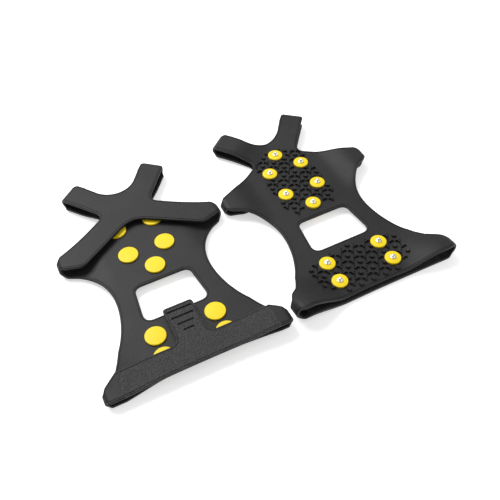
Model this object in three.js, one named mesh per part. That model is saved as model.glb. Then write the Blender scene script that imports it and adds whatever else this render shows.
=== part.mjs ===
// A pair of pull-on ice cleats for shoes, lying side by side: the left one with its inner face up, the right one
// turned over with its studs up. Each cleat is a rubber sole web with an X-shaped instep star over the toes and a
// strap behind the heel, joined at its edges by six folded loops, and ten yellow buttons that grip steel pins.
// Millimetres. X runs across the pair, Y points to the toes, Z is up from the ground.
import * as THREE from "three";

const CURVE_STEPS = 6; // straight steps on each curve of an outline
const GAP = 0.3; // clearance between rubber pieces that meet
const SHEET = 2.2; // thickness of the rubber

// Where the pair lies
const CLEAT_SPACING = 130;
const TOE_IN = THREE.MathUtils.degToRad(0.3); // each cleat turns its toes in by this

// Studs: a button has a broad inner disc, a neck through the rubber and a smaller outer disc
const BALL_STUDS = [[0, 134.7], [-14.1, 117.4], [14.1, 117.4], [-14, 91.2], [14, 91.2], [0, 73.7]];
const HEEL_STUDS = [[-21.4, 17.4], [21.4, 17.4], [-21.9, 0], [21.9, 0]];
const STUDS = [...BALL_STUDS, ...HEEL_STUDS];
const STUD_GAP = 0.1;
const BUTTON_SIDES = 14;
const INNER_DISC_R = 7.25;
const INNER_DISC = 1.3;
const OUTER_DISC_R = 5.9;
const OUTER_DISC = 1.5;
const NECK_R = 3.5;
const PIN_SIDES = 8;
const PIN_R = 1.5;
const PIN_TIP_R = 1;
const PIN_LENGTH = 4.5; // how far a pin stands below the rubber
const PIN_TAPER = 0.6;
const COLLAR_R = 2.6;
const COLLAR = 0.75;
const SOCKET = 1.5; // how far a pin reaches up into its button
const NECK_HOLE_R = NECK_R + GAP;

// Plan of the rubber, for the side with x > 0
const NOTCH_Y = 151.5; // front edge on the centre line
const HEEL_EDGE_Y = -12.8; // on the centre line
const HEEL_CORNER_Y = -15.8;
const STRAP_EDGE_Y = -15.7; // on the centre line
const STRAP_CORNER_Y = -16.7;
const STRAP_FRONT_Y = 2.8;
const TAB_HALF = 10.75;
const TAB_TOP_Y = 32.5;
const STAR_APEX_Y = 118.5; // rear edge of the star on the centre line
const WAIST = [35.8, 58];
const WINDOW = { low: 30.3, high: 60.5, lowHalf: 23, highHalf: 21, corner: 6 };
const TOE_ARM = { angle: THREE.MathUtils.degToRad(50), end: [36.4, 170.8], half: 9.4, loop: 12 };
const SIDE_JOIN_X = 53;
const SIDE_END_X = 63.2; // outermost point of the side loops
const SIDE_FRONT_Y = 111.9;
const SIDE_REAR_Y = 91.3; // rear edge of the sole's side arm, where it joins its loop
const STAR_REAR_Y = 94.8; // rear edge of the star's side arm, where it joins its loop
const HEEL_JOIN_X = 54;
const HEEL_END_X = 64.3; // outermost point of the heel loops
const HEEL_FRONT_Y = 5.6;

// Where the arms bend up or down: each stretch starts flat and ends flat at its loop
const TOE_BEND = [110, 138]; // measured along the toe arm
const SIDE_BEND = [30, 51]; // measured along X, and the same at the heel
const BEND_STEPS = 3;
const TOE_FADE_Y = [124, 136];
const SIDE_FADE_Y = [66, 84];
const HEEL_FADE_Y = [-16, 25];

// How each cleat lies. Heights are above the outer face of its sole, in a cleat with its inner face up, and a rise
// at the heel is given for the loops at x < 0 and x > 0.
const LEFT_LIE = {
  star: 4.7,
  starRise: { toe: 0.65, side: 0.1, heel: [0, 0] },
  strap: 4.1,
  strapRise: { toe: 0, side: 0, heel: [-1.6, 2.7] },
  strapShift: 0,
  soleRise: { toe: -3, side: -2.5, heel: [-3.5, 0.3] },
};
const RIGHT_LIE = {
  star: 4.4,
  starRise: { toe: -2, side: -3.2, heel: [0, 0] },
  strap: 4.1,
  strapRise: { toe: 0, side: 0, heel: [-0.5, -5] },
  strapShift: 1.2, // the strap lies this much nearer the toes than in the left cleat
  soleRise: { toe: -5.3, side: -3.6, heel: [-8.5, -12.5] },
};

const { lerp, smoothstep } = THREE.MathUtils;
const rubber = new THREE.MeshStandardMaterial({ color: 0x2b2b2d, roughness: 0.75 });
const strapRubber = new THREE.MeshStandardMaterial({ color: 0x353437, roughness: 0.85 });
const buttonPlastic = new THREE.MeshStandardMaterial({ color: 0xf2d230, roughness: 0.4 });
const steel = new THREE.MeshStandardMaterial({ color: 0xb9bbbe, roughness: 0.3, metalness: 1 });

const armAlong = new THREE.Vector2(Math.cos(TOE_ARM.angle), Math.sin(TOE_ARM.angle));
const armAcross = new THREE.Vector2(armAlong.y, -armAlong.x);

// A point on the toe arm: back from the middle of its end, and across towards its outer edge.
function toeArmPoint(back, across) {
  return new THREE.Vector2(...TOE_ARM.end).addScaledVector(armAlong, -back).addScaledVector(armAcross, across);
}

// The edge that the sole and the star share: from the notch round the toe arm to the end of the side arm.
function frontEdge() {
  const inner = toeArmPoint(TOE_ARM.loop + GAP, -TOE_ARM.half);
  const outer = toeArmPoint(TOE_ARM.loop + GAP, TOE_ARM.half);
  const edge = new THREE.Path().moveTo(0, NOTCH_Y);
  edge.quadraticCurveTo(9, NOTCH_Y, 15, 158.5);
  edge.lineTo(inner.x, inner.y);
  edge.lineTo(outer.x, outer.y);
  edge.lineTo(23, 139.3);
  edge.bezierCurveTo(20, 135.6, 20, 131.4, 25, 128.7);
  edge.quadraticCurveTo(41.5, 117.5, SIDE_JOIN_X - GAP, SIDE_FRONT_Y);
  return edge;
}

function soleEdge() {
  const edge = frontEdge();
  edge.lineTo(SIDE_JOIN_X - GAP, SIDE_REAR_Y);
  edge.bezierCurveTo(45, 86.5, 36, 74, ...WAIST);
  edge.bezierCurveTo(35.6, 45, 40, 29, 47.5, 17.7);
  edge.quadraticCurveTo(50.5, 10.8, HEEL_JOIN_X - GAP, HEEL_FRONT_Y);
  edge.lineTo(HEEL_JOIN_X - GAP, HEEL_CORNER_Y);
  edge.quadraticCurveTo(HEEL_JOIN_X / 2, HEEL_EDGE_Y, 0, HEEL_EDGE_Y);
  return edge;
}

function starEdge() {
  const edge = frontEdge();
  edge.lineTo(SIDE_JOIN_X - GAP, STAR_REAR_Y);
  edge.quadraticCurveTo(47, 92, 42.5, 94.6);
  edge.lineTo(9, 116);
  edge.quadraticCurveTo(4, STAR_APEX_Y, 0, STAR_APEX_Y);
  return edge;
}

function strapEdge() {
  const edge = new THREE.Path().moveTo(0, TAB_TOP_Y);
  edge.lineTo(TAB_HALF - 2, TAB_TOP_Y);
  edge.quadraticCurveTo(TAB_HALF, TAB_TOP_Y, TAB_HALF, TAB_TOP_Y - 2);
  edge.lineTo(TAB_HALF, STRAP_FRONT_Y + 6);
  edge.quadraticCurveTo(TAB_HALF, STRAP_FRONT_Y, TAB_HALF + 6, STRAP_FRONT_Y);
  edge.lineTo(HEEL_JOIN_X - GAP, STRAP_FRONT_Y);
  edge.lineTo(HEEL_JOIN_X - GAP, STRAP_CORNER_Y);
  edge.quadraticCurveTo(HEEL_JOIN_X / 2, STRAP_EDGE_Y, 0, STRAP_EDGE_Y);
  return edge;
}

// A whole outline from the half with x > 0, which starts and ends on the centre line.
function mirroredShape(halfEdge) {
  const half = halfEdge.getPoints(CURVE_STEPS);
  const other = half.slice(1, -1).reverse();
  return new THREE.Shape([...half, ...other.map((point) => new THREE.Vector2(-point.x, point.y))]);
}

function windowPath() {
  const { low, high, lowHalf, highHalf, corner } = WINDOW;
  const path = new THREE.Path().moveTo(-lowHalf + corner, low);
  path.lineTo(lowHalf - corner, low);
  path.quadraticCurveTo(lowHalf, low, lowHalf, low + corner);
  path.lineTo(highHalf, high - corner);
  path.quadraticCurveTo(highHalf, high, highHalf - corner, high);
  path.lineTo(-highHalf + corner, high);
  path.quadraticCurveTo(-highHalf, high, -highHalf, high - corner);
  path.lineTo(-lowHalf, low + corner);
  path.quadraticCurveTo(-lowHalf, low, -lowHalf + corner, low);
  return path;
}

// The part of a polygon where level(point) isn't negative.
function clipped(polygon, level) {
  const kept = [];
  polygon.forEach((from, k) => {
    const to = polygon[(k + 1) % polygon.length];
    const start = level(from);
    const end = level(to);
    if (start >= 0) kept.push(from);
    if (start * end < 0) kept.push(from.clone().lerp(to, start / (start - end)));
  });
  return kept;
}

// Cuts each triangle where it crosses the upright plane along . (x, y) = distance, so that the sheet can bend there.
function creased(geometry, along, distance) {
  const position = geometry.getAttribute("position");
  const points = [];
  for (let i = 0; i < position.count; i += 3) {
    const triangle = [0, 1, 2].map((k) => new THREE.Vector3().fromBufferAttribute(position, i + k));
    for (const side of [1, -1]) {
      const piece = clipped(triangle, (p) => side * (along.x * p.x + along.y * p.y - distance));
      for (let k = 2; k < piece.length; k++) points.push(piece[0], piece[k - 1], piece[k]);
    }
  }
  return new THREE.BufferGeometry().setFromPoints(points);
}

// The share of a rise at the heel that is left at a place along Y.
function heelShare(y) {
  return 1 - smoothstep(y, ...HEEL_FADE_Y);
}

// How far the sheet is raised at a point of the plan, for a rise at the ends of its toe, side and heel arms.
function riseAt(x, y, rise) {
  const out = Math.abs(x);
  const front = smoothstep(y, ...TOE_FADE_Y);
  const toe = rise.toe * front * smoothstep(out * armAlong.x + y * armAlong.y, ...TOE_BEND);
  const side = rise.side * (1 - front) * smoothstep(y, ...SIDE_FADE_Y);
  const heel = rise.heel[x < 0 ? 0 : 1] * heelShare(y);
  return toe + smoothstep(out, ...SIDE_BEND) * (side + heel);
}

// A rubber sheet of the given outline, its underside at height base, with its arms bent by their rise.
function sheetGeometry(shape, base, rise) {
  let sheet = new THREE.ExtrudeGeometry(shape, { depth: SHEET, bevelEnabled: false, curveSegments: CURVE_STEPS });
  const bends = [];
  if (rise.toe !== 0) bends.push([armAlong, TOE_BEND]);
  if (rise.side !== 0 || rise.heel.some((height) => height !== 0)) bends.push([new THREE.Vector2(1, 0), SIDE_BEND]);
  for (const [along, [start, end]] of bends) {
    for (let step = 0; step < BEND_STEPS; step++) {
      const distance = start + ((end - start) * step) / BEND_STEPS;
      sheet = creased(sheet, along, distance);
      sheet = creased(sheet, new THREE.Vector2(-along.x, along.y), distance);
    }
  }
  const position = sheet.getAttribute("position");
  for (let i = 0; i < position.count; i++) {
    position.setZ(i, position.getZ(i) + base + riseAt(position.getX(i), position.getY(i), rise));
  }
  sheet.computeVertexNormals();
  return sheet;
}

function soleGeometry(lie) {
  const shape = mirroredShape(soleEdge());
  shape.holes.push(windowPath());
  for (const [x, y] of STUDS) {
    shape.holes.push(new THREE.Path().absarc(x, y, NECK_HOLE_R, 0, 2 * Math.PI, false));
  }
  return sheetGeometry(shape, 0, lie.soleRise);
}

// The section of a folded loop: two legs, length long in all, joined by a half-round bend of the given outer height.
function foldShape(length, height) {
  const outer = height / 2;
  const straight = length - outer;
  const shape = new THREE.Shape().moveTo(0, 0);
  shape.lineTo(straight, 0);
  shape.absarc(straight, outer, outer, -Math.PI / 2, Math.PI / 2, false);
  shape.lineTo(0, height);
  shape.lineTo(0, height - SHEET);
  shape.lineTo(straight, height - SHEET);
  shape.absarc(straight, outer, outer - SHEET, Math.PI / 2, -Math.PI / 2, true);
  shape.lineTo(0, SHEET);
  return shape;
}

// A loop on the arm that starts at join and runs along angle. edges(reach, share, shift) gives where its two side
// edges lie across the arm, at a reach along it and a share of the way from the sole up to the upper sheet. front
// and rear are the heights of the sole and of the upper sheet at the loop's front and rear edge.
function loopGeometry({ join, angle, length, edges }, front, rear, shift) {
  const height = rear[1] + SHEET - rear[0];
  const loop = new THREE.ExtrudeGeometry(foldShape(length, height), {
    depth: 1,
    bevelEnabled: false,
    curveSegments: CURVE_STEPS,
  });
  const along = new THREE.Vector2(Math.cos(angle), Math.sin(angle));
  const across = new THREE.Vector2(along.y, -along.x);
  const position = loop.getAttribute("position");
  for (let i = 0; i < position.count; i++) {
    const reach = position.getX(i);
    const up = position.getY(i);
    const [first, second] = edges(reach, up / height, shift);
    const point = new THREE.Vector2(...join).addScaledVector(along, reach);
    const back = position.getZ(i);
    point.addScaledVector(across, lerp(first, second, back));
    const low = lerp(front[0], rear[0], back);
    const high = lerp(front[1], rear[1], back) + SHEET;
    position.setXYZ(i, point.x, point.y, lerp(low, high, up / height));
  }
  loop.computeVertexNormals();
  return loop;
}

const LOOPS = {
  toe: {
    join: toeArmPoint(TOE_ARM.loop, 0).toArray(),
    angle: TOE_ARM.angle,
    length: TOE_ARM.loop,
    edges: () => [-TOE_ARM.half, TOE_ARM.half],
  },
  side: {
    join: [SIDE_JOIN_X, 0],
    angle: 0,
    length: SIDE_END_X - SIDE_JOIN_X,
    edges: (reach, share) => [
      -SIDE_FRONT_Y + 0.45 * reach,
      lerp(-SIDE_REAR_Y - 0.5 * reach, -STAR_REAR_Y - 0.3 * reach, share),
    ],
  },
  heel: {
    join: [HEEL_JOIN_X, 0],
    angle: 0,
    length: HEEL_END_X - HEEL_JOIN_X,
    edges: (reach, share, shift) => [
      lerp(-HEEL_FRONT_Y + reach, -STRAP_FRONT_Y - shift + 0.8 * reach, share),
      lerp(-HEEL_CORNER_Y, -STRAP_CORNER_Y - shift, share),
    ],
  },
};

// A solid turned about Z from a profile of [radius, height] points that starts and ends on the axis.
function turned(profile, sides) {
  const points = profile.map(([radius, height]) => new THREE.Vector2(radius, height));
  return new THREE.LatheGeometry(points, sides).rotateX(Math.PI / 2);
}

function buttonGeometry() {
  const socketR = PIN_R + STUD_GAP;
  const innerFace = SHEET + STUD_GAP;
  return turned(
    [
      [0, SOCKET + STUD_GAP],
      [socketR, SOCKET + STUD_GAP],
      [socketR, -STUD_GAP - OUTER_DISC],
      [OUTER_DISC_R, -STUD_GAP - OUTER_DISC],
      [OUTER_DISC_R, -STUD_GAP],
      [NECK_R, -STUD_GAP],
      [NECK_R, innerFace],
      [INNER_DISC_R, innerFace],
      [INNER_DISC_R, innerFace + INNER_DISC],
      [0, innerFace + INNER_DISC],
    ],
    BUTTON_SIDES,
  );
}

function pinGeometry() {
  const collarTop = -OUTER_DISC - 2 * STUD_GAP;
  return turned(
    [
      [0, -PIN_LENGTH],
      [PIN_TIP_R, -PIN_LENGTH],
      [PIN_R, -PIN_LENGTH + PIN_TAPER],
      [PIN_R, collarTop - COLLAR],
      [COLLAR_R, collarTop - COLLAR],
      [COLLAR_R, collarTop],
      [PIN_R, collarTop],
      [PIN_R, SOCKET],
      [0, SOCKET],
    ],
    PIN_SIDES,
  );
}

function addPiece(group, name, geometry, material) {
  const mesh = new THREE.Mesh(geometry, material);
  mesh.name = name;
  group.add(mesh);
  return mesh;
}

// One cleat with its inner face up and the flat part of its sole's outer face at z = 0.
function cleat(name, lie) {
  const group = new THREE.Group();
  addPiece(group, `${name}_sole_web`, soleGeometry(lie), rubber);
  const star = sheetGeometry(mirroredShape(starEdge()), lie.star, lie.starRise);
  addPiece(group, `${name}_instep_star`, star, rubber);
  const strap = sheetGeometry(mirroredShape(strapEdge()), lie.strap, lie.strapRise);
  addPiece(group, `${name}_heel_strap`, strap.translate(0, lie.strapShift, 0), strapRubber);
  for (const side of [0, 1]) {
    const heelEnd = (share) => [
      lie.soleRise.heel[side] * share,
      lie.strap + lie.strapRise.heel[side] * share,
    ];
    const toeEnd = [lie.soleRise.toe, lie.star + lie.starRise.toe];
    const sideEnd = [lie.soleRise.side, lie.star + lie.starRise.side];
    const legs = {
      toe: [toeEnd, toeEnd],
      side: [sideEnd, sideEnd],
      heel: [heelEnd(heelShare(HEEL_FRONT_Y)), heelEnd(1)],
    };
    for (const [arm, [front, rear]] of Object.entries(legs)) {
      const geometry = loopGeometry(LOOPS[arm], front, rear, lie.strapShift);
      const piece = addPiece(group, `${name}_${arm}_loop_${"lr"[side]}`, geometry, rubber);
      piece.scale.x = side === 0 ? -1 : 1;
    }
  }
  STUDS.forEach(([x, y], index) => {
    addPiece(group, `${name}_button_${index + 1}`, buttonGeometry(), buttonPlastic).position.set(x, y, 0);
    addPiece(group, `${name}_pin_${index + 1}`, pinGeometry(), steel).position.set(x, y, 0);
  });
  return group;
}

const left = cleat("left", LEFT_LIE);
left.position.set(-CLEAT_SPACING / 2, 0, PIN_LENGTH);
left.rotation.z = -TOE_IN;

const right = cleat("right", RIGHT_LIE);
right.rotation.y = Math.PI;
const rightPlace = new THREE.Group().add(right);
rightPlace.position.set(CLEAT_SPACING / 2, 0, RIGHT_LIE.star + SHEET);
rightPlace.rotation.z = TOE_IN;

// The pair's origin is the centre of its footprint, on the ground.
const pair = new THREE.Group().add(left, rightPlace);
const footprint = new THREE.Box3().setFromObject(pair, true).getCenter(new THREE.Vector3());
pair.children.forEach((placed) => placed.position.sub(new THREE.Vector3(footprint.x, footprint.y, 0)));

export default pair;
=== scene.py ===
"""A pair of pull-on ice cleats for shoes: moulded rubber with lugs, yellow buttons and steel pins.

Each rubber piece is made flat, in millimetres, in its cleat's own frame (X across, Y to the toes, Z up from
the sole's outer face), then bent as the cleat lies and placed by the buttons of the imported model.
"""
import math

import bmesh
import bpy
import numpy as np
from mathutils import Matrix, Vector
from mathutils.geometry import delaunay_2d_cdt


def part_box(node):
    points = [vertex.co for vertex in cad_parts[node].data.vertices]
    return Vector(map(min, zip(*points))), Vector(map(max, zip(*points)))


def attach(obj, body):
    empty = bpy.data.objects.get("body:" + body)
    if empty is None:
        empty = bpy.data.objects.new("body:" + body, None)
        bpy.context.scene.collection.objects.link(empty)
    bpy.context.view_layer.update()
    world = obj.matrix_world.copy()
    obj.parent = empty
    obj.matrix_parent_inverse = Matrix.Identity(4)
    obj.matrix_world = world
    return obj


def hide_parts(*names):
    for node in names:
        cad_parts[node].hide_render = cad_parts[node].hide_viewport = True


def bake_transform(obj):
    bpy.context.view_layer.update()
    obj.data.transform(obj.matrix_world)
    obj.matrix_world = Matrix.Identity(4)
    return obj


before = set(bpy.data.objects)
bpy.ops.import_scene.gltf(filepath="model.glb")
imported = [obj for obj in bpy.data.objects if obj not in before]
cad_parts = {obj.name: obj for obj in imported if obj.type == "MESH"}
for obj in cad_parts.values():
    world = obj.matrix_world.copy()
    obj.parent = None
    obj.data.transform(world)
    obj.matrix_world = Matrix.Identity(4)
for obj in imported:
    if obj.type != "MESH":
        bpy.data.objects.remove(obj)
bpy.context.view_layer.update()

MM = 0.001
SHEET = 2.2  # thickness of the rubber
EDGE_STEP = 1.2  # spacing of the points along an outline
LATTICE_STEP = 3.0  # spacing of the points inside a sheet
LATTICE_CLEAR = 1.0  # least distance from these to other points
TOLERANCE = 1e-6  # for triangulation
WELD = 0.002
FAR = 1000  # beyond every point of a cleat
SHARP_ANGLE = math.radians(38)  # steeper edges aren't shaded smooth

# The sheets' edge in section: a rounded corner and a fine groove beside it
EDGE_R = 0.7
EDGE_POINTS = 5
GROOVE_IN = 1.15
GROOVE_SIDE = 0.2
GROOVE_FLOOR = 0.3
GROOVE_DEPTH = 0.3

# Studs: a button has an inner disc, a neck through the rubber and an outer disc, and grips a pin
BALL_STUDS = [(0, 134.7), (-14.1, 117.4), (14.1, 117.4), (-14, 91.2), (14, 91.2), (0, 73.7)]
HEEL_STUDS = [(-21.4, 17.4), (21.4, 17.4), (-21.9, 0), (21.9, 0)]
STUDS = BALL_STUDS + HEEL_STUDS
STUD_GAP = 0.1
INNER_DISC_R = 7.25
INNER_DISC = 1.3
OUTER_DISC_R = 5.8
OUTER_DISC = 1.5
OUTER_CROWN = 0.3  # how far the outer disc's middle stands out beyond its packed face
OUTER_FLAT = 0.6  # the share of the outer disc's radius that is flat
NECK_R = 3.5
NECK_HOLE_R = 3.8
PIN_R = 1.3
PIN_TIP_R = 0.9
PIN_LENGTH = 4.5  # how far a pin stands below the rubber
PIN_TAPER = 0.6
COLLAR_R = 2.2
COLLAR = 0.6
SOCKET = 1.5  # how far a pin reaches up into its button
STUD_SIDES = 56

# How far the studs' corners are rounded
INNER_RIM_ROUND = 0.35
OUTER_RIM_ROUND = 0.4
CROWN_ROUND = 0.2
DISC_FOOT_ROUND = 0.15
PIN_TIP_ROUND = 0.25
PIN_TAPER_ROUND = 0.2
PIN_ROOT_ROUND = 0.1
COLLAR_ROUND = 0.3
ROUND_POINTS = 4

# Plan of the rubber, for the side with x > 0
NOTCH_Y = 151.5  # front edge on the centre line
HEEL_EDGE_Y = -12.8  # on the centre line
HEEL_CORNER_Y = -15.8
STRAP_EDGE_Y = -15.7  # on the centre line
STRAP_CORNER_Y = -16.7
STRAP_FRONT_Y = 2.8
TAB_HALF = 10.75
TAB_TOP_Y = 32.5
TAB_CORNER = 2.6
TAB_ROOT = 6
STAR_APEX_Y = 118.5  # rear edge of the star on the centre line
WAIST = (35.8, 58)
WINDOW_LOW, WINDOW_HIGH = 31.2, 61.4
WINDOW_LOW_HALF, WINDOW_HIGH_HALF = 23, 21
WINDOW_CORNER = 6
TOE_ANGLE = math.radians(50)
TOE_END = np.array([36.4, 170.8])  # the middle of the toe arm's outermost edge
TOE_HALF = 9.4
TOE_LOOP = 12  # length of the toe loops
SIDE_JOIN_X = 53
SIDE_END_X = 63.2  # outermost point of the side loops
SIDE_FRONT_Y = 111.9
SIDE_REAR_Y = 91.3
STAR_REAR_Y = 94.8
HEEL_JOIN_X = 54
HEEL_END_X = (66.8, 63.9)  # outermost point of the heel loops, for x < 0 and x > 0
HEEL_FRONT_Y = 5.6
LOOP_CORNER = 1.8  # how far a loop narrows at each side round its bend
LOOP_CORNER_SHARE = 0.55  # the share of each half of the bend over which it narrows
SPARE = 3  # how far a flat sheet runs on past a join before it is cut there
SPLIT_Y = 50  # between the heel's arms and the side arms
LEG_STEPS = 5  # quads along a loop's straight leg, round its bend and across it
BEND_STEPS = 20
CROSS_STEPS = 6

# Slopes of the loops' side edges: how far an edge moves across the arm for each millimetre along it
SIDE_FRONT_SLOPE = 0.45
SIDE_REAR_SLOPE = 0.5
STAR_REAR_SLOPE = 0.3
HEEL_FRONT_SLOPE = 1.0
STRAP_FRONT_SLOPE = 0.8

# Where the arms bend: along the toe arm, and along X at the sides and the heel. The fades along Y part the
# arms from each other.
TOE_BEND = (110, 138)
SIDE_BEND = (30, 51)
HEEL_BEND = (23, 55)
TOE_FADE_Y = (124, 136)
SIDE_FADE_Y = (66, 84)
HEEL_FADE_Y = (-16, 25)

# How each cleat lies: the heights of the star's and strap's undersides, how far the strap is shifted along
# Y, and how far each arm's end is raised. A rise is for x < 0 and for x > 0.
LIES = {
    "left": {
        "star": 4.7,
        "star_rise": {"toe": (0.65, 0.65), "side": (0.1, 0.1), "heel": (0, 0)},
        "strap": 4.1,
        "strap_rise": {"toe": (0, 0), "side": (0, 0), "heel": (-1.6, 2.7)},
        "strap_shift": 0,
        "sole_rise": {"toe": (-3, -3), "side": (-2.5, -2.5), "heel": (-3.5, 0.3)},
    },
    "right": {
        "star": 4.4,
        "star_rise": {"toe": (-2, -2), "side": (-0.8, -0.8), "heel": (0, 0)},
        "strap": 4.1,
        "strap_rise": {"toe": (0, 0), "side": (0, 0), "heel": (-0.5, -5)},
        "strap_shift": 1.2,
        "sole_rise": {"toe": (-5.3, -5.3), "side": (-5, -3.6), "heel": (-8.5, -12.5)},
    },
}

# Lugs under the sole: round bosses on a honeycomb lattice, and three-armed lugs between them
LUG_PITCH = 9.9
LUG_ROW = LUG_PITCH * math.sqrt(3) / 2
LUG_ROWS = range(-5, 6)
LUG_HEIGHT = 1.6
LUG_DRAFT = 0.3  # how much smaller a lug is at its top
BOSS_R = 1.8
BOSS_SIDES = 18
ARM_LENGTH = 2.45
ARM_HALF = 0.8
ARM_STEP = 0.25  # an arm that lacks room is shortened by this until it fits
ARM_TIP_POINTS = 5
LEAST_ARM = 1.4  # in half widths
CROTCH = 1.25  # how far the hollow between two arms is from the lug's middle, in half widths
DISC_ROOM = OUTER_DISC_R + 0.25  # the lugs keep this far from a stud's middle
BALL_LUGS_Y = (66, 141)
BALL_LUGS_HALF = 24.5
BALL_LUG_ROW_Y = 102.5
HEEL_LUGS_Y = (-11.5, 27.5)
HEEL_LUGS_HALF = 38.5
HEEL_LUG_ROW_Y = 8.5
REGION_POWER = 3.4  # 2 would make the lugs' regions ellipses, more makes them squarer

# Ribs pressed into the pull tab: (y, half length)
TAB_RIBS = [(28, 8.2), (22.3, 7.2), (16.6, 5.0), (11, 3.1)]
RIB_HALF = 0.85
RIB_DEPTH = 0.9
RIB_DRAFT = 0.3
RIB_END_POINTS = 7

# Materials
NOISE_DETAIL = 3.0
TINT_SPAN = (0.35, 0.65)  # the stretch of the noise over which a colour drifts

# Floor, light and camera
FLOOR_HALF = 3
FLOOR_SHADE = 0.9
FLOOR_ROUGHNESS = 0.9
FLOOR_SPECULAR = 0.1
FLOOR_GLOW = 0.5
SKY_STRENGTH = 0.4
LIGHTS = [  # name, place, size, power
    ("main_light", (-0.35, 0.75, 1.1), 0.7, 16),
    ("fill_light", (0.9, -0.5, 1.0), 1.0, 3),
    ("back_light", (0.3, 0.9, 1.1), 0.9, 3),
]
CAMERA_FROM_CLEATS = Vector((-0.12848, -0.22988, 0))  # from the middle between the two cleats' origins
CAMERA_HEIGHT = 0.37573
CAMERA_YAW = math.radians(24.51)
CAMERA_PITCH = math.radians(49.72)
CAMERA_ROLL = math.radians(2.74)
CAMERA_LENS = 48.31
SENSOR_WIDTH = 36


# ---------------------------------------------------------------- plan outlines

def trace(start, *segments):
    """Points from start along Bezier curves; each segment lists a curve's control points after its start."""
    points = []
    for segment in segments:
        controls = np.array([start, *segment], float)
        length = np.linalg.norm(np.diff(controls, axis=0), axis=1).sum()
        steps = max(1, round(length / EDGE_STEP))
        for share in np.arange(steps) / steps:
            level = controls
            while len(level) > 1:
                level = level[:-1] * (1 - share) + level[1:] * share
            points.append(level[0])
        start = segment[-1]
    points.append(np.array(start, float))
    return np.array(points)


def mirrored(half):
    """A whole outline, counter-clockwise, from the half with x > 0 that runs from front to rear."""
    return np.vstack([half, half[-2:0:-1] * (-1, 1)])[::-1]


def toe_arm_point(back, across):
    """A point on the toe arm: back from the middle of its end, and across towards its outer edge."""
    along = np.array([math.cos(TOE_ANGLE), math.sin(TOE_ANGLE)])
    return TOE_END - along * back + np.array([along[1], -along[0]]) * across


def front_edge():
    """The segments that sole and star share, from the notch round the toe arm to the side arm."""
    return [
        [(9, NOTCH_Y), (15, 158.5)],
        [toe_arm_point(TOE_LOOP - SPARE, -TOE_HALF)],
        [toe_arm_point(TOE_LOOP - SPARE, TOE_HALF)],
        [(23, 139.3)],
        [(20, 135.6), (20, 131.4), (25, 128.7)],
        [(41.5, 117.5), (SIDE_JOIN_X, SIDE_FRONT_Y)],
        [(SIDE_JOIN_X + SPARE, SIDE_FRONT_Y - SIDE_FRONT_SLOPE * SPARE)],
    ]


def sole_outline():
    return mirrored(trace(
        (0, NOTCH_Y),
        *front_edge(),
        [(SIDE_JOIN_X + SPARE, SIDE_REAR_Y + SIDE_REAR_SLOPE * SPARE)],
        [(SIDE_JOIN_X, SIDE_REAR_Y)],
        [(45, 86.5), (36, 74), WAIST],
        [(35.6, 45), (40, 29), (47.5, 17.7)],
        [(50.5, 10.8), (HEEL_JOIN_X, HEEL_FRONT_Y)],
        [(HEEL_JOIN_X + SPARE, HEEL_FRONT_Y - HEEL_FRONT_SLOPE * SPARE)],
        [(HEEL_JOIN_X + SPARE, HEEL_CORNER_Y)],
        [(HEEL_JOIN_X, HEEL_CORNER_Y)],
        [(HEEL_JOIN_X / 2, HEEL_EDGE_Y), (0, HEEL_EDGE_Y)],
    ))


def star_outline():
    return mirrored(trace(
        (0, NOTCH_Y),
        *front_edge(),
        [(SIDE_JOIN_X + SPARE, STAR_REAR_Y + STAR_REAR_SLOPE * SPARE)],
        [(SIDE_JOIN_X, STAR_REAR_Y)],
        [(47, 92), (42.5, 94.6)],
        [(9, 116)],
        [(4, STAR_APEX_Y), (0, STAR_APEX_Y)],
    ))


def strap_outline():
    return mirrored(trace(
        (0, TAB_TOP_Y),
        [(TAB_HALF - TAB_CORNER, TAB_TOP_Y)],
        [(TAB_HALF - TAB_CORNER / 3, TAB_TOP_Y), (TAB_HALF, TAB_TOP_Y - TAB_CORNER / 3),
         (TAB_HALF, TAB_TOP_Y - TAB_CORNER)],
        [(TAB_HALF, STRAP_FRONT_Y + TAB_ROOT)],
        [(TAB_HALF, STRAP_FRONT_Y), (TAB_HALF + TAB_ROOT, STRAP_FRONT_Y)],
        [(HEEL_JOIN_X, STRAP_FRONT_Y)],
        [(HEEL_JOIN_X + SPARE, STRAP_FRONT_Y - STRAP_FRONT_SLOPE * SPARE)],
        [(HEEL_JOIN_X + SPARE, STRAP_CORNER_Y)],
        [(HEEL_JOIN_X, STRAP_CORNER_Y)],
        [(HEEL_JOIN_X / 2, STRAP_EDGE_Y), (0, STRAP_EDGE_Y)],
    ))


def window_outline():
    """The arch window, clockwise because it is a hole."""
    low, high, corner = WINDOW_LOW, WINDOW_HIGH, WINDOW_CORNER
    half = trace(
        (0, low),
        [(WINDOW_LOW_HALF - corner, low)],
        [(WINDOW_LOW_HALF, low), (WINDOW_LOW_HALF, low + corner)],
        [(WINDOW_HIGH_HALF, high - corner)],
        [(WINDOW_HIGH_HALF, high), (WINDOW_HIGH_HALF - corner, high)],
        [(0, high)],
    )
    return mirrored(half)


def circle(centre, radius, sides=24):
    """A circle, clockwise."""
    turn = -2 * math.pi * np.arange(sides) / sides
    return np.array(centre) + radius * np.column_stack([np.cos(turn), np.sin(turn)])


def inset(outline, distance):
    """The outline moved into the material on its left by a distance."""
    along = np.roll(outline, -1, axis=0) - outline
    along = along / np.linalg.norm(along, axis=1)[:, None]
    tangent = along + np.roll(along, 1, axis=0)
    tangent = tangent / np.linalg.norm(tangent, axis=1)[:, None]
    return outline + distance * np.column_stack([-tangent[:, 1], tangent[:, 0]])


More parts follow.
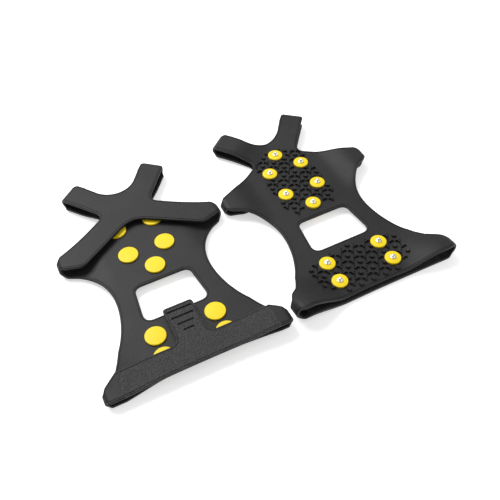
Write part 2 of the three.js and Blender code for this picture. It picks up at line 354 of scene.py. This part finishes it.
def inside(outline, points):
    """Which of the points lie inside the outline."""
    x, y = points.T
    within = np.zeros(len(points), bool)
    for (x0, y0), (x1, y1) in zip(outline, np.roll(outline, -1, axis=0)):
        if y0 == y1:
            continue
        crosses = (y0 > y) != (y1 > y)
        within ^= crosses & (x < x0 + (y - y0) * (x1 - x0) / (y1 - y0))
    return within


# ---------------------------------------------------------------- lugs and ribs

def boss(centre):
    """The base and top outlines of a round lug."""
    return circle(centre, BOSS_R, BOSS_SIDES), circle(centre, BOSS_R - LUG_DRAFT, BOSS_SIDES)


def three_arms(centre, first_turn, lengths, half):
    """The outline of a lug with three round-ended arms of the given lengths."""
    points = []
    for k in range(3):
        turn = first_turn - k * 2 * math.pi / 3
        along = np.array([math.cos(turn), math.sin(turn)])
        left = np.array([-along[1], along[0]])
        tip = along * (lengths[k] - half)
        for share in np.linspace(0, 1, ARM_TIP_POINTS):
            swing = math.pi * (0.5 - share)
            points.append(tip + half * (along * math.cos(swing) + left * math.sin(swing)))
        between = turn - math.pi / 3
        points.append(CROTCH * half * np.array([math.cos(between), math.sin(between)]))
    return np.array(centre) + np.array(points)


def squarish(point, middle, halves):
    """Less than 1 inside a region that is a rectangle with well-rounded corners."""
    share = np.abs((np.array(point) - middle) / halves)
    return (share ** REGION_POWER).sum()


def arm_room(centre, turn, allowed):
    """How long an arm may be before it meets a disc or leaves its region."""
    along = np.array([math.cos(turn), math.sin(turn)])
    for length in np.arange(ARM_LENGTH, 0, -ARM_STEP):
        if allowed(centre + along * length):
            return length
    return 0


def three_armed_lug(centre, first_turn, allowed):
    """The base and top outlines of a three-armed lug, its arms shortened where they lack room."""
    turns = [first_turn - k * 2 * math.pi / 3 for k in range(3)]
    lengths = [max(arm_room(centre, turn, allowed), LEAST_ARM * ARM_HALF) for turn in turns]
    top_lengths = [length - LUG_DRAFT for length in lengths]
    base = three_arms(centre, first_turn, lengths, ARM_HALF)
    return base, three_arms(centre, first_turn, top_lengths, ARM_HALF - LUG_DRAFT)


def clear_of_discs(outline, room):
    """The outline, with any part that is nearer to a stud's middle than room moved out to there."""
    moved = []
    for point in outline:
        stud = min(STUDS, key=lambda centre: math.dist(point, centre))
        distance = math.dist(point, stud)
        if distance < room:
            point = stud + (point - stud) * room / distance
        moved.append(point)
    return np.array(moved)


def lugs():
    """Base and top outlines of all the lugs under a sole."""
    found = []
    regions = [
        (BALL_LUGS_Y, BALL_LUGS_HALF, BALL_LUG_ROW_Y),
        (HEEL_LUGS_Y, HEEL_LUGS_HALF, HEEL_LUG_ROW_Y),
    ]
    for (rear, front), half, row_y in regions:
        middle = np.array([0, (rear + front) / 2])
        halves = np.array([half, (front - rear) / 2])

        def allowed(point, margin=0.0, gap=0.0):
            nearest = min(math.dist(point, stud) for stud in STUDS)
            return nearest > DISC_ROOM + gap and squarish(point, middle, halves - margin) < 1

        for row in LUG_ROWS:
            y = row_y + row * LUG_ROW
            for column in LUG_ROWS:
                x = (column + (row % 2) / 2) * LUG_PITCH
                if allowed((x, y), BOSS_R, LUG_DRAFT):
                    found.append(boss((x, y)))
                for side in (1, -1):
                    centre = np.array([x, y + side * LUG_PITCH / math.sqrt(3)])
                    if allowed(centre, ARM_HALF, ARM_HALF):
                        found.append(three_armed_lug(centre, side * math.pi / 2, allowed))
    return [
        (clear_of_discs(base, DISC_ROOM), clear_of_discs(top, DISC_ROOM + LUG_DRAFT))
        for base, top in found
    ]


def ribs():
    """Base and floor outlines of the ribs pressed into the pull tab."""
    found = []
    for y, half_length in TAB_RIBS:
        pair = []
        for shrink in (0, RIB_DRAFT):
            radius = RIB_HALF - shrink
            arc = np.linspace(-math.pi / 2, math.pi / 2, RIB_END_POINTS)
            end = np.column_stack([half_length + radius * np.cos(arc), y + radius * np.sin(arc)])
            pair.append(np.vstack([end, end[::-1] * (-1, 1)]))
        found.append(tuple(pair))
    return found


# ---------------------------------------------------------------- flat sheets

def edge_profile():
    """The rubber's edge in section as (distance from the edge, height), from the top to the underside."""
    start = GROOVE_IN + 2 * GROOVE_SIDE + GROOVE_FLOOR
    groove = [
        (start, SHEET),
        (start - GROOVE_SIDE, SHEET - GROOVE_DEPTH),
        (GROOVE_IN + GROOVE_SIDE, SHEET - GROOVE_DEPTH),
        (GROOVE_IN, SHEET),
    ]
    corner = []
    for turn in np.linspace(0, math.pi / 2, EDGE_POINTS):
        corner.append((EDGE_R * (1 - math.sin(turn)), SHEET - EDGE_R * (1 - math.cos(turn))))
    top = groove + corner
    return top + [(distance, SHEET - height) for distance, height in reversed(top)]


def face(border, holes, reliefs, relief_height):
    """Fills a border less its holes with triangles. Returns (x, y, height) points, where a relief's top
    outline has the relief's height, and the triangles."""
    outlines = [(border, 0)] + [(hole, 0) for hole in holes]
    for base, top in reliefs:
        outlines += [(base, 0), (top, relief_height)]
    points = np.vstack([outline for outline, _ in outlines])
    levels = [np.full(len(outline), height, float) for outline, height in outlines]
    edges = []
    for outline, _ in outlines:
        first = len(edges)
        count = len(outline)
        edges += [(first + k, first + (k + 1) % count) for k in range(count)]
    spare = lattice(border, points, holes + [base for base, _ in reliefs])
    points = np.vstack([points, spare])
    heights = np.concatenate([*levels, np.zeros(len(spare))])
    result = delaunay_2d_cdt([Vector(point) for point in points], edges, [], 0, TOLERANCE)
    flat = np.array([tuple(point) for point in result[0]])
    triangles = np.array(result[2])
    centres = flat[triangles].mean(axis=1)
    keep = inside(border, centres)
    for hole in holes:
        keep &= ~inside(hole, centres)
    raised = np.array([heights[origin[0]] if origin else 0 for origin in result[3]])
    return np.column_stack([flat, raised]), triangles[keep]


def lattice(border, taken, holes):
    """Evenly spread points inside the border, clear of the points already taken and of the holes."""
    low, high = border.min(axis=0), border.max(axis=0)
    rows = []
    row_step = LATTICE_STEP * math.sqrt(3) / 2
    for row, y in enumerate(np.arange(low[1], high[1], row_step)):
        x = np.arange(low[0] + (row % 2) * LATTICE_STEP / 2, high[0], LATTICE_STEP)
        rows.append(np.column_stack([x, np.full(len(x), y)]))
    points = np.vstack(rows)
    points = points[inside(border, points)]
    for hole in holes:
        near = np.abs(points - hole.mean(axis=0)).max(axis=1) < np.ptp(hole, axis=0).max()
        blocked = near.copy()
        blocked[near] = inside(hole, points[near])
        points = points[~blocked]
    apart = np.array([np.min(np.sum((taken - point) ** 2, axis=1)) for point in points])
    return points[apart > LATTICE_CLEAR ** 2]


def add_faces(mesh, points, triangles):
    """Adds triangles or quads to a bmesh."""
    verts = [mesh.verts.new(point) for point in points]
    for corners in triangles:
        mesh.faces.new([verts[k] for k in corners])


def flat_sheet(outline, window=None, holes=(), top_reliefs=(), under_reliefs=()):
    """A flat sheet as a bmesh, with rounded and grooved edges, holes, ribs pressed into its top face and
    lugs standing out under it."""
    mesh = bmesh.new()
    profile = edge_profile()
    rims = [outline] if window is None else [outline, window]
    inner = [inset(rim, profile[0][0]) for rim in rims]
    for rim in rims:
        rings = [np.column_stack([inset(rim, depth), np.full(len(rim), z)]) for depth, z in profile]
        add_strip(mesh, rings)
    fill_holes = list(inner[1:]) + list(holes)
    top, triangles = face(inner[0], fill_holes, top_reliefs, -RIB_DEPTH)
    top[:, 2] += SHEET
    add_faces(mesh, top, triangles)
    under, triangles = face(inner[0], fill_holes, under_reliefs, -LUG_HEIGHT)
    add_faces(mesh, under, triangles[:, ::-1])
    for hole in holes:
        add_strip(mesh, [np.column_stack([hole, np.full(len(hole), z)]) for z in (SHEET, 0)])
    bmesh.ops.remove_doubles(mesh, verts=mesh.verts, dist=WELD)
    return mesh


def add_strip(mesh, rings):
    """Adds quads between rings of points."""
    rows = [[mesh.verts.new(point) for point in ring] for ring in rings]
    count = len(rows[0])
    for above, below in zip(rows, rows[1:]):
        for k in range(count):
            following = (k + 1) % count
            mesh.faces.new([above[k], below[k], below[following], above[following]])


def cut(mesh, point, normal, beyond_y=-FAR, before_y=FAR):
    """Cuts a flat sheet off beyond a plane, within a range of Y, and closes the cut."""
    def near(verts):
        return all(beyond_y < vert.co.y < before_y for vert in verts)

    geometry = [vert for vert in mesh.verts if near([vert])]
    geometry += [edge for edge in mesh.edges if near(edge.verts)]
    geometry += [side for side in mesh.faces if near(side.verts)]
    bmesh.ops.bisect_plane(
        mesh, geom=geometry, dist=WELD / 2, plane_co=point, plane_no=normal, clear_outer=True
    )
    bmesh.ops.holes_fill(mesh, edges=[edge for edge in mesh.edges if edge.is_boundary], sides=0)


def cut_toe_arms(mesh):
    for side in (-1, 1):
        x, y = toe_arm_point(TOE_LOOP, 0)
        cut(mesh, (side * x, y, 0), (side * math.cos(TOE_ANGLE), math.sin(TOE_ANGLE), 0))


def cut_arms(mesh, x, beyond_y=-FAR, before_y=FAR):
    for side in (-1, 1):
        cut(mesh, (side * x, 0, 0), (side, 0, 0), beyond_y, before_y)


def flat_sole():
    holes = [circle(stud, NECK_HOLE_R) for stud in STUDS]
    mesh = flat_sheet(sole_outline(), window_outline(), holes, under_reliefs=lugs())
    cut_toe_arms(mesh)
    cut_arms(mesh, SIDE_JOIN_X, beyond_y=SPLIT_Y)
    cut_arms(mesh, HEEL_JOIN_X, before_y=SPLIT_Y)
    return mesh


def flat_star():
    mesh = flat_sheet(star_outline())
    cut_toe_arms(mesh)
    cut_arms(mesh, SIDE_JOIN_X)
    return mesh


def flat_strap():
    mesh = flat_sheet(strap_outline(), top_reliefs=ribs())
    cut_arms(mesh, HEEL_JOIN_X)
    return mesh


# ---------------------------------------------------------------- bending

def smoothstep(value, start, end):
    share = np.clip((value - start) / (end - start), 0, 1)
    return share * share * (3 - 2 * share)


def heel_share(y):
    """The share of a rise at the heel that is left at a place along Y."""
    return 1 - smoothstep(y, *HEEL_FADE_Y)


def rise_at(x, y, rise):
    """How far a sheet is raised at places of the plan, for a rise at the ends of its arms."""
    out = np.abs(x)
    along = out * math.cos(TOE_ANGLE) + y * math.sin(TOE_ANGLE)
    toe_share = smoothstep(along, *TOE_BEND) * smoothstep(y, *TOE_FADE_Y)
    side_share = smoothstep(y, *SIDE_FADE_Y) * (1 - smoothstep(y, *TOE_FADE_Y))
    side_share = side_share * smoothstep(out, *SIDE_BEND)
    toe = np.where(x < 0, *rise["toe"]) * toe_share
    side = np.where(x < 0, *rise["side"]) * side_share
    heel = np.where(x < 0, *rise["heel"]) * heel_share(y) * smoothstep(out, *HEEL_BEND)
    return toe + side + heel


def bent(points, base, rise):
    """Flat points of a sheet, bent by its rise without thinning it, with the underside at height base."""
    x, y, z = points.T
    probe = 0.05
    height = rise_at(x, y, rise)
    slope_x = (rise_at(x + probe, y, rise) - rise_at(x - probe, y, rise)) / (2 * probe)
    slope_y = (rise_at(x, y + probe, rise) - rise_at(x, y - probe, rise)) / (2 * probe)
    normal = np.column_stack([-slope_x, -slope_y, np.ones(len(x))])
    normal = normal / np.linalg.norm(normal, axis=1)[:, None]
    middle = np.column_stack([x, y, base + height + SHEET / 2])
    return middle + normal * (z - SHEET / 2)[:, None]


# ---------------------------------------------------------------- folded loops

def lerp(a, b, share):
    return a + (b - a) * share


def loop_shape(arm, side, lie):
    """A loop's length, its side edges at a reach and a share of the bend, and the heights of the middles of
    the two sheets that it joins, at a place across it."""
    middle = SHEET / 2
    shift = lie["strap_shift"]
    if arm == "heel":
        def edges(reach, share):
            front = lerp(HEEL_FRONT_Y - HEEL_FRONT_SLOPE * reach,
                         STRAP_FRONT_Y + shift - STRAP_FRONT_SLOPE * reach, share)
            return front, lerp(HEEL_CORNER_Y, STRAP_CORNER_Y + shift, share)

        def heights(across):
            low = lie["sole_rise"]["heel"][side] * heel_share(across)
            high = lie["strap"] + lie["strap_rise"]["heel"][side] * heel_share(across - shift)
            return low + middle, high + middle

        return HEEL_END_X[side] - HEEL_JOIN_X, edges, heights

    low = lie["sole_rise"][arm][side] + middle
    high = lie["star"] + lie["star_rise"][arm][side] + middle
    if arm == "toe":
        return TOE_LOOP, lambda reach, share: (TOE_HALF, -TOE_HALF), lambda across: (low, high)

    def side_edges(reach, share):
        rear = lerp(SIDE_REAR_Y + SIDE_REAR_SLOPE * reach, STAR_REAR_Y + STAR_REAR_SLOPE * reach, share)
        return SIDE_FRONT_Y - SIDE_FRONT_SLOPE * reach, rear

    return SIDE_END_X - SIDE_JOIN_X, side_edges, lambda across: (low, high)


def fold_point(place, across, length, heights):
    """The middle of the rubber at a place along the fold: 0 to 1 on the sole's leg, to 2 round the bend, and
    to 3 back along the upper leg. Returns it as (reach along the arm, across, height)."""
    low, high = heights(across)
    radius = (high - low) / 2
    straight = length - SHEET / 2 - radius
    if place < 1:
        return np.array([straight * place, across, low])
    if place > 2:
        return np.array([straight * (3 - place), across, high])
    turn = math.pi * (place - 1.5)
    return np.array([straight + radius * math.cos(turn), across, low + radius * (1 + math.sin(turn))])


def fold_normal(place, across, length, heights):
    """The direction from the outer face of the sole's leg to its inner face, carried round the fold."""
    probe = 0.001
    start = max(place - probe, 0)
    end = min(place + probe, 3)
    onward = fold_point(end, across, length, heights) - fold_point(start, across, length, heights)
    one_side = fold_point(place, across - probe, length, heights)
    other_side = fold_point(place, across + probe, length, heights)
    normal = np.cross(onward, other_side - one_side)
    return normal / np.linalg.norm(normal)


def loop_section():
    """The closed section of a loop: (share of the width, distance from that side's edge, height) points."""
    profile = edge_profile()
    deepest = profile[0][0]
    shares = np.linspace(0, 1, CROSS_STEPS + 1)[1:-1]
    section = [(0, distance, height) for distance, height in profile]
    section += [(share, deepest, 0) for share in shares]
    section += [(1, distance, height) for distance, height in reversed(profile)]
    section += [(share, deepest, SHEET) for share in reversed(shares)]
    return section


def loop_mesh(arm, side, lie):
    """A folded loop in its cleat's frame, as a bmesh."""
    length, edges, heights = loop_shape(arm, side, lie)
    mirror = -1 if side == 0 else 1
    if arm == "toe":
        start, turn = toe_arm_point(TOE_LOOP, 0), TOE_ANGLE
    else:
        start, turn = np.array([SIDE_JOIN_X if arm == "side" else HEEL_JOIN_X, 0]), 0
    along = np.array([math.cos(turn), math.sin(turn)])
    over = np.array([-along[1], along[0]])
    places = np.concatenate([
        np.linspace(0, 1, LEG_STEPS, endpoint=False),
        np.linspace(1, 2, BEND_STEPS, endpoint=False),
        np.linspace(2, 3, LEG_STEPS + 1),
    ])
    section = loop_section()
    rows = []
    for place in places:
        front, rear = edges(0, 0)
        reach = fold_point(place, (front + rear) / 2, length, heights)[0]
        share = (1 - math.cos(math.pi * min(max(place - 1, 0), 1))) / 2
        pull = LOOP_CORNER * smoothstep(1 - abs(2 * place - 3), 0, LOOP_CORNER_SHARE)
        front, rear = edges(reach, share)
        row = []
        for width_share, distance, level in section:
            across = lerp(front - pull - distance, rear + pull + distance, width_share)
            middle = fold_point(place, across, length, heights)
            normal = fold_normal(place, across, length, heights)
            point = middle + normal * (level - SHEET / 2)
            plan = start + along * point[0] + over * point[1]
            row.append((mirror * plan[0], plan[1], point[2]))
        rows.append(row)
    mesh = bmesh.new()
    add_strip(mesh, rows)
    mesh.verts.ensure_lookup_table()
    count = len(section)
    mesh.faces.new(mesh.verts[:count])
    mesh.faces.new(mesh.verts[-count:])
    bmesh.ops.recalc_face_normals(mesh, faces=mesh.faces)
    return mesh


# ---------------------------------------------------------------- placing the pieces

def button_centre(cleat, index):
    low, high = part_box(f"{cleat}_button_{index}")
    return (Vector(low) + Vector(high)) / 2


def cleat_matrix(cleat):
    """Takes a cleat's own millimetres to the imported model's frame, found from two of its buttons."""
    front = button_centre(cleat, 1)
    rear = button_centre(cleat, 6)
    forward = (front - rear).normalized()
    up = Vector((0, 0, 1)) if cleat == "left" else Vector((0, 0, -1))
    low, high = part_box(f"{cleat}_button_6")
    outer_face = low[2] if cleat == "left" else high[2]
    origin = rear - forward * BALL_STUDS[-1][1] * MM
    origin.z = outer_face + up.z * (OUTER_DISC + STUD_GAP) * MM
    matrix = Matrix((forward.cross(up), forward, up)).transposed().to_4x4()
    matrix.translation = origin
    return matrix @ Matrix.Scale(MM, 4)


def finished(name, mesh, material, matrix):
    """A smooth-shaded object from a bmesh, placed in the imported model's frame. Sharp edges stay sharp."""
    data = bpy.data.meshes.new(name)
    mesh.to_mesh(data)
    data.transform(matrix)
    data.materials.append(material)
    data.shade_smooth()
    data.set_sharp_from_angle(angle=SHARP_ANGLE)
    piece = bpy.data.objects.new(name, data)
    bpy.context.scene.collection.objects.link(piece)
    return piece


def bent_piece(name, flat, material, matrix, base, rise, shift=0):
    """A sheet from its flat mesh, bent and placed."""
    mesh = flat.copy()
    points = np.array([tuple(vert.co) for vert in mesh.verts])
    for vert, point in zip(mesh.verts, bent(points, base, rise)):
        vert.co = (point[0], point[1] + shift, point[2])
    return finished(name, mesh, material, matrix)


def add_sheets(cleat, lie, matrix, flats, materials):
    rubber = materials["rubber"]
    sole = bent_piece(f"{cleat}_sole", flats["sole"], rubber, matrix, 0, lie["sole_rise"])
    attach(sole, f"{cleat}_sole")
    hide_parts(f"{cleat}_sole_web")
    star = bent_piece(f"{cleat}_star", flats["star"], rubber, matrix, lie["star"], lie["star_rise"])
    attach(star, f"{cleat}_star")
    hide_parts(f"{cleat}_instep_star")
    strap = bent_piece(
        f"{cleat}_strap", flats["strap"], materials["strap_rubber"], matrix,
        lie["strap"], lie["strap_rise"], lie["strap_shift"],
    )
    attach(strap, f"{cleat}_strap")
    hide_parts(f"{cleat}_heel_strap")


def add_loops(cleat, lie, matrix, materials):
    for arm in ("toe", "side", "heel"):
        for side, letter in enumerate("lr"):
            name = f"{cleat}_{arm}_fold_{letter}"
            piece = finished(name, loop_mesh(arm, side, lie), materials["rubber"], matrix)
            _, edges, heights = loop_shape(arm, side, lie)
            ends = [heights(across) for across in edges(0, 0)]
            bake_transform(piece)
            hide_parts(f"{cleat}_{arm}_loop_{letter}")


# ---------------------------------------------------------------- studs

def rounded(corner, before, after, radius):
    """Points that round off a corner of a profile between its two neighbours."""
    corner, before, after = (np.array(point, float) for point in (corner, before, after))
    start = corner + (before - corner) / np.linalg.norm(before - corner) * radius
    end = corner + (after - corner) / np.linalg.norm(after - corner) * radius
    return [
        (1 - share) ** 2 * start + 2 * share * (1 - share) * corner + share ** 2 * end
        for share in np.linspace(0, 1, ROUND_POINTS)
    ]


def turned(profile):
    """A solid turned about Z from (radius, height, rounding) points that start and end on the axis."""
    points = []
    for k, (radius, height, rounding) in enumerate(profile):
        if rounding:
            points += rounded((radius, height), profile[k - 1][:2], profile[k + 1][:2], rounding)
        else:
            points.append(np.array([radius, height], float))
    mesh = bmesh.new()
    rings = []
    turn = 2 * math.pi * np.arange(STUD_SIDES) / STUD_SIDES
    for radius, height in points[1:-1]:
        level = np.full(STUD_SIDES, height)
        rings.append(np.column_stack([radius * np.cos(turn), radius * np.sin(turn), level]))
    add_strip(mesh, rings)
    mesh.verts.ensure_lookup_table()
    for ring, (_, height) in ((0, points[0]), (len(rings) - 1, points[-1])):
        centre = mesh.verts.new((0, 0, height))
        mesh.verts.ensure_lookup_table()
        first = ring * STUD_SIDES
        for k in range(STUD_SIDES):
            mesh.faces.new([centre, mesh.verts[first + k], mesh.verts[first + (k + 1) % STUD_SIDES]])
    bmesh.ops.recalc_face_normals(mesh, faces=mesh.faces)
    return mesh


def button_mesh():
    inner = SHEET + STUD_GAP
    socket_r = PIN_R + STUD_GAP
    outer = -STUD_GAP - OUTER_DISC
    return turned([
        (0, SOCKET + STUD_GAP, 0),
        (socket_r, SOCKET + STUD_GAP, 0),
        (socket_r, outer - OUTER_CROWN, 0),
        (OUTER_DISC_R * OUTER_FLAT, outer - OUTER_CROWN, CROWN_ROUND),
        (OUTER_DISC_R, outer, OUTER_RIM_ROUND),
        (OUTER_DISC_R, -STUD_GAP, DISC_FOOT_ROUND),
        (NECK_R, -STUD_GAP, 0),
        (NECK_R, inner, 0),
        (INNER_DISC_R, inner, DISC_FOOT_ROUND),
        (INNER_DISC_R, inner + INNER_DISC, INNER_RIM_ROUND),
        (0, inner + INNER_DISC, 0),
    ])


def pin_mesh():
    top = -OUTER_DISC - OUTER_CROWN - 2 * STUD_GAP
    return turned([
        (0, -PIN_LENGTH, 0),
        (PIN_TIP_R, -PIN_LENGTH, PIN_TIP_ROUND),
        (PIN_R, -PIN_LENGTH + PIN_TAPER, PIN_TAPER_ROUND),
        (PIN_R, top - COLLAR, 0),
        (COLLAR_R, top - COLLAR, COLLAR_ROUND),
        (COLLAR_R, top, 0),
        (PIN_R, top, 0),
        (PIN_R, SOCKET, PIN_ROOT_ROUND),
        (0, SOCKET, 0),
    ])


def add_studs(cleat, matrix, materials):
    kinds = [("button", button_mesh(), "button_plastic"), ("pin", pin_mesh(), "pin_steel")]
    for index, (x, y) in enumerate(STUDS, start=1):
        for kind, mesh, slot in kinds:
            place = matrix @ Matrix.Translation((x, y, 0))
            piece = finished(f"{cleat}_{kind}_piece_{index}", mesh, materials[slot], place)
            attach(piece, f"{cleat}_sole")
            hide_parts(f"{cleat}_{kind}_{index}")


# ---------------------------------------------------------------- materials

def noise(nodes, links, where, scale):
    """A noise texture on object coordinates."""
    node = nodes.new("ShaderNodeTexNoise")
    node.inputs["Scale"].default_value = scale
    node.inputs["Detail"].default_value = NOISE_DETAIL
    links.new(where.outputs["Object"], node.inputs["Vector"])
    return node


def procedural(
    name, dark, light, roughness, grain_scale, grain_depth, metallic=0.0, tint_scale=60.0, specular=0.5
):
    """A material whose colour drifts between two shades, with a fine grain in its surface and its gloss."""
    material = bpy.data.materials.new(name)
    material.use_nodes = True
    nodes, links = material.node_tree.nodes, material.node_tree.links
    shader = nodes["Principled BSDF"]
    shader.inputs["Metallic"].default_value = metallic
    shader.inputs["Specular IOR Level"].default_value = specular
    where = nodes.new("ShaderNodeTexCoord")
    tint = noise(nodes, links, where, tint_scale)
    colours = nodes.new("ShaderNodeValToRGB")
    for stop, position, shade in zip(colours.color_ramp.elements, TINT_SPAN, (dark, light)):
        stop.position = position
        stop.color = (*shade, 1)
    links.new(tint.outputs["Fac"], colours.inputs["Fac"])
    links.new(colours.outputs["Color"], shader.inputs["Base Color"])
    grain = noise(nodes, links, where, grain_scale)
    gloss = nodes.new("ShaderNodeMapRange")
    gloss.inputs["To Min"].default_value = roughness[0]
    gloss.inputs["To Max"].default_value = roughness[1]
    links.new(grain.outputs["Fac"], gloss.inputs["Value"])
    links.new(gloss.outputs["Result"], shader.inputs["Roughness"])
    bump = nodes.new("ShaderNodeBump")
    bump.inputs["Strength"].default_value = 1.0
    bump.inputs["Distance"].default_value = grain_depth
    links.new(grain.outputs["Fac"], bump.inputs["Height"])
    links.new(bump.outputs["Normal"], shader.inputs["Normal"])
    return material


def make_materials():
    rubber = procedural(
        "rubber", dark=(0.0105, 0.0103, 0.011), light=(0.015, 0.0145, 0.0155), roughness=(0.48, 0.62),
        grain_scale=900, grain_depth=0.0001, specular=0.3,
    )
    strap = procedural(
        "strap_rubber", dark=(0.009, 0.009, 0.010), light=(0.029, 0.028, 0.031), roughness=(0.34, 0.6),
        grain_scale=950, grain_depth=0.0009, tint_scale=1100, specular=0.4,
    )
    plastic = procedural(
        "button_plastic", dark=(0.87, 0.65, 0.012), light=(0.91, 0.69, 0.016), roughness=(0.42, 0.5),
        grain_scale=700, grain_depth=0.00002, specular=0.25,
    )
    steel = procedural(
        "pin_steel", dark=(0.9, 0.9, 0.91), light=(0.96, 0.96, 0.96), roughness=(0.2, 0.25),
        grain_scale=2500, grain_depth=0.000001, metallic=1.0, tint_scale=400,
    )
    return {"rubber": rubber, "strap_rubber": strap, "button_plastic": plastic, "pin_steel": steel}


# ---------------------------------------------------------------- floor, light and camera

def add_floor():
    size = FLOOR_HALF
    corners = [(-size, -size, 0), (size, -size, 0), (size, size, 0), (-size, size, 0)]
    data = bpy.data.meshes.new("floor")
    data.from_pydata(corners, [], [(0, 1, 2, 3)])
    material = bpy.data.materials.new("floor_paper")
    material.use_nodes = True
    shader = material.node_tree.nodes["Principled BSDF"]
    shader.inputs["Base Color"].default_value = (FLOOR_SHADE, FLOOR_SHADE, FLOOR_SHADE, 1)
    shader.inputs["Roughness"].default_value = FLOOR_ROUGHNESS
    shader.inputs["Specular IOR Level"].default_value = FLOOR_SPECULAR
    shader.inputs["Emission Color"].default_value = (1, 1, 1, 1)
    shader.inputs["Emission Strength"].default_value = FLOOR_GLOW
    data.materials.append(material)
    floor = bpy.data.objects.new("floor", data)
    bpy.context.scene.collection.objects.link(floor)


def add_area_light(name, place, size, power):
    """An area light that points to the middle of the pair."""
    data = bpy.data.lights.new(name, "AREA")
    data.size = size
    data.energy = power
    light = bpy.data.objects.new(name, data)
    light.location = place
    light.rotation_euler = (-Vector(place)).to_track_quat("-Z", "Y").to_euler()
    bpy.context.scene.collection.objects.link(light)


def add_light():
    world = bpy.data.worlds.new("studio")
    world.use_nodes = True
    sky = world.node_tree.nodes["Background"]
    sky.inputs["Color"].default_value = (1, 1, 1, 1)
    sky.inputs["Strength"].default_value = SKY_STRENGTH
    bpy.context.scene.world = world
    for name, place, size, power in LIGHTS:
        add_area_light(name, place, size, power)


def add_camera(middle):
    """The camera, placed from the middle between the two cleats' origins."""
    data = bpy.data.cameras.new("camera")
    data.sensor_width = SENSOR_WIDTH
    data.lens = CAMERA_LENS
    camera = bpy.data.objects.new("camera", data)
    heading = Vector((math.sin(CAMERA_YAW), math.cos(CAMERA_YAW), 0))
    level = Vector((math.cos(CAMERA_YAW), -math.sin(CAMERA_YAW), 0))
    forward = math.cos(CAMERA_PITCH) * heading - math.sin(CAMERA_PITCH) * Vector((0, 0, 1))
    down = forward.cross(level)
    right = math.cos(CAMERA_ROLL) * level + math.sin(CAMERA_ROLL) * down
    up = math.sin(CAMERA_ROLL) * level - math.cos(CAMERA_ROLL) * down
    place = middle + CAMERA_FROM_CLEATS
    place.z = CAMERA_HEIGHT
    camera.matrix_world = Matrix.Translation(place) @ Matrix((right, up, -forward)).transposed().to_4x4()
    bpy.context.scene.collection.objects.link(camera)
    bpy.context.scene.camera = camera


def build():
    materials = make_materials()
    flats = {"sole": flat_sole(), "star": flat_star(), "strap": flat_strap()}
    matrices = {cleat: cleat_matrix(cleat) for cleat in LIES}
    for cleat, lie in LIES.items():
        matrix = matrices[cleat]
        add_sheets(cleat, lie, matrix, flats, materials)
        add_loops(cleat, lie, matrix, materials)
        add_studs(cleat, matrix, materials)
    add_floor()
    add_light()
    add_camera((matrices["left"].translation + matrices["right"].translation) / 2)
    bpy.context.scene.view_settings.view_transform = "Standard"


build()
